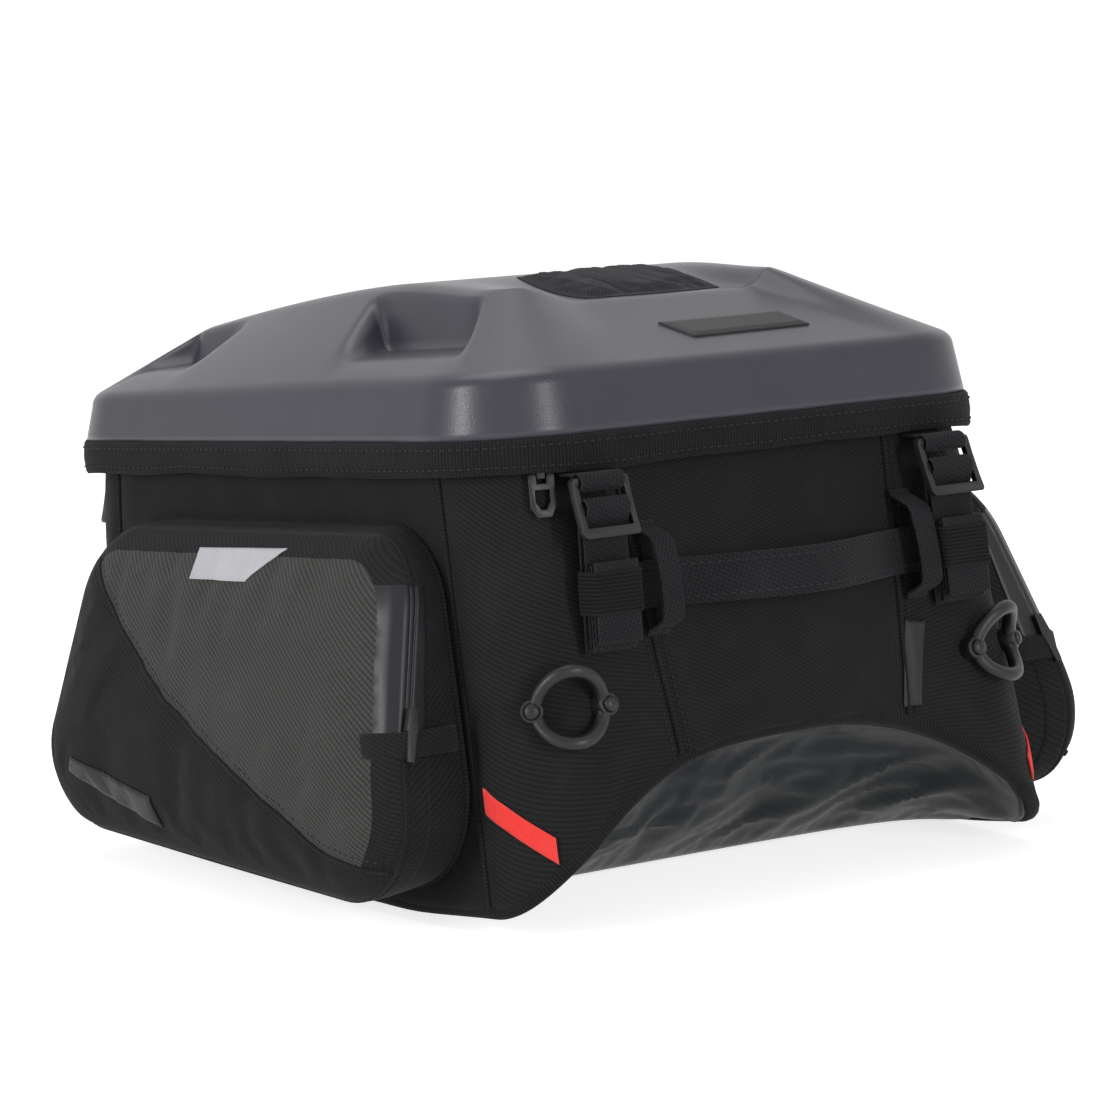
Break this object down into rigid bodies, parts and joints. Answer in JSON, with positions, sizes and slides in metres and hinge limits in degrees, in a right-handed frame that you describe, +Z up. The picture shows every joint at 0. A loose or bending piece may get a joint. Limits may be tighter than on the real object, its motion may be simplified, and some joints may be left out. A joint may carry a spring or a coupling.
{
  "type": "motorcycle tail bag",
  "caption": "Soft motorcycle tail bag with a moulded hinged lid, zipped domed side pockets, carry handle, lash rings and buckled fastening straps.",
  "frame": {"origin": "on the flat part of the bag's underside, in the middle of its width, under the middle of the lid's rim", "axes": "+X to the right seen from the rear, rear face with the handle towards -Y, +Z up from the base"},
  "size_m": [0.4452, 0.4343, 0.2871],
  "materials": {
    "moulded_shell": "satin moulded foam, faint violet grey",
    "ballistic_nylon": "black ballistic weave",
    "ribbed_weave": "grey ribbed weave",
    "coated_fabric": "coated, slightly shiny",
    "edge_binding": "matt stitched binding",
    "webbing": "woven webbing",
    "elastic": "matt elastic",
    "soft_insert": "wrinkled soft fabric",
    "coated_zip": "coated water-resistant tape",
    "accent_tape": "matt red tape",
    "moulded_hardware": "semi-matt black plastic",
    "base_sheet": "plain sheet"
  },
  "bodies": {
    "bag_body": {"rear_centre_panel": "ballistic_nylon", "rear_left_panel": "ballistic_nylon", "rear_right_panel": "ballistic_nylon", "left_side_panel": "ballistic_nylon", "right_side_panel": "ballistic_nylon", "front_centre_panel": "ballistic_nylon", "front_left_panel": "ballistic_nylon", "front_right_panel": "ballistic_nylon", "left_pocket_gusset": "ballistic_nylon", "right_pocket_gusset": "ballistic_nylon", "left_pocket_lower_front": "ballistic_nylon", "right_pocket_lower_front": "ballistic_nylon", "floor_panel": "coated_fabric", "base_board": "base_sheet", "lower_piping": "edge_binding", "body_zip_tape": "coated_zip", "lid_hinge_tape": "coated_zip", "left_handle_loop": "webbing", "right_handle_loop": "webbing", "rear_left_strap_anchor": "webbing", "rear_right_strap_anchor": "webbing", "front_left_strap_anchor": "webbing", "front_right_strap_anchor": "webbing", "left_lash_ring": "moulded_hardware", "left_ring_inner_rivet": "moulded_hardware", "left_ring_outer_rivet": "moulded_hardware", "left_accent_strip": "accent_tape", "left_pocket_zip": "coated_zip", "right_lash_ring": "moulded_hardware", "right_ring_inner_rivet": "moulded_hardware", "right_ring_outer_rivet": "moulded_hardware", "right_accent_strip": "accent_tape", "right_pocket_zip": "coated_zip"},
    "lid": {"lid_shell": "moulded_shell", "lid_binding": "edge_binding", "lid_top_insert": "soft_insert", "lid_zip_tape": "coated_zip"},
    "zip_slider": {"main_zip_slider": "moulded_hardware"},
    "zip_pull": {"main_zip_pull": "moulded_hardware"},
    "handle": {"carry_handle": "webbing"},
    "rear_left_strap": {"rear_left_strap_buckle": "moulded_hardware", "rear_left_strap_tail": "webbing", "rear_left_strap_keeper": "elastic"},
    "rear_right_strap": {"rear_right_strap_buckle": "moulded_hardware", "rear_right_strap_tail": "webbing", "rear_right_strap_keeper": "elastic"},
    "front_left_strap": {"front_left_strap_buckle": "moulded_hardware", "front_left_strap_tail": "webbing", "front_left_strap_keeper": "elastic"},
    "front_right_strap": {"front_right_strap_buckle": "moulded_hardware", "front_right_strap_tail": "webbing", "front_right_strap_keeper": "elastic"},
    "left_cover": {"left_pocket_cover": "ribbed_weave"},
    "left_slider": {"left_pocket_slider": "moulded_hardware"},
    "right_cover": {"right_pocket_cover": "ribbed_weave"},
    "right_slider": {"right_pocket_slider": "moulded_hardware"}
  },
  "joints": [
    {"name": "lid_hinge", "type": "hinge", "parent": "bag_body", "child": "lid", "pos_m": [0, 0.20755, 0.18161], "axis": [-1, 0, 0], "range_deg": [0, 95]},
    {"name": "main_zip_run", "type": "hinge", "parent": "bag_body", "child": "zip_slider", "pos_m": [-0.106, -0.12279, 0.21606], "axis": [0, -0.0767, -0.9971], "range_deg": [0, 58]},
    {"name": "zip_pull_swing", "type": "hinge", "parent": "zip_slider", "child": "zip_pull", "pos_m": [-0.12379, -0.1675, 0.20897], "axis": [-0.9272, 0.3735, -0.0287], "range_deg": [0, 70]},
    {"name": "handle_lift", "type": "slide", "parent": "bag_body", "child": "handle", "axis": [0, -0.9971, 0.0767], "range_m": [0, 0.008]},
    {"name": "rear_left_strap_swing", "type": "hinge", "parent": "bag_body", "child": "rear_left_strap", "pos_m": [-0.1035, -0.18372, 0.2062], "axis": [-1, 0, 0], "range_deg": [0, 70]},
    {"name": "rear_right_strap_swing", "type": "hinge", "parent": "bag_body", "child": "rear_right_strap", "pos_m": [0.10465, -0.18372, 0.2062], "axis": [-1, 0, 0], "range_deg": [0, 70]},
    {"name": "front_left_strap_swing", "type": "hinge", "parent": "bag_body", "child": "front_left_strap", "pos_m": [-0.1035, 0.2131, 0.17567], "axis": [1, 0, 0], "range_deg": [0, 70]},
    {"name": "front_right_strap_swing", "type": "hinge", "parent": "bag_body", "child": "front_right_strap", "pos_m": [0.10465, 0.2131, 0.17567], "axis": [1, 0, 0], "range_deg": [0, 70]},
    {"name": "left_pocket_open", "type": "hinge", "parent": "bag_body", "child": "left_cover", "pos_m": [-0.20777, 0.00625, 0.08126], "axis": [0, -0.9971, 0.0767], "range_deg": [0, 75]},
    {"name": "left_pocket_zip_run", "type": "slide", "parent": "bag_body", "child": "left_slider", "axis": [0.2578, 0.2395, 0.9361], "range_m": [0, 0.036]},
    {"name": "right_pocket_open", "type": "hinge", "parent": "bag_body", "child": "right_cover", "pos_m": [0.22357, 0.00625, 0.08126], "axis": [0, 0.9971, -0.0767], "range_deg": [0, 75]},
    {"name": "right_pocket_zip_run", "type": "slide", "parent": "bag_body", "child": "right_slider", "axis": [-0.3483, 0.2323, 0.9081], "range_m": [0, 0.036]}
  ]
}
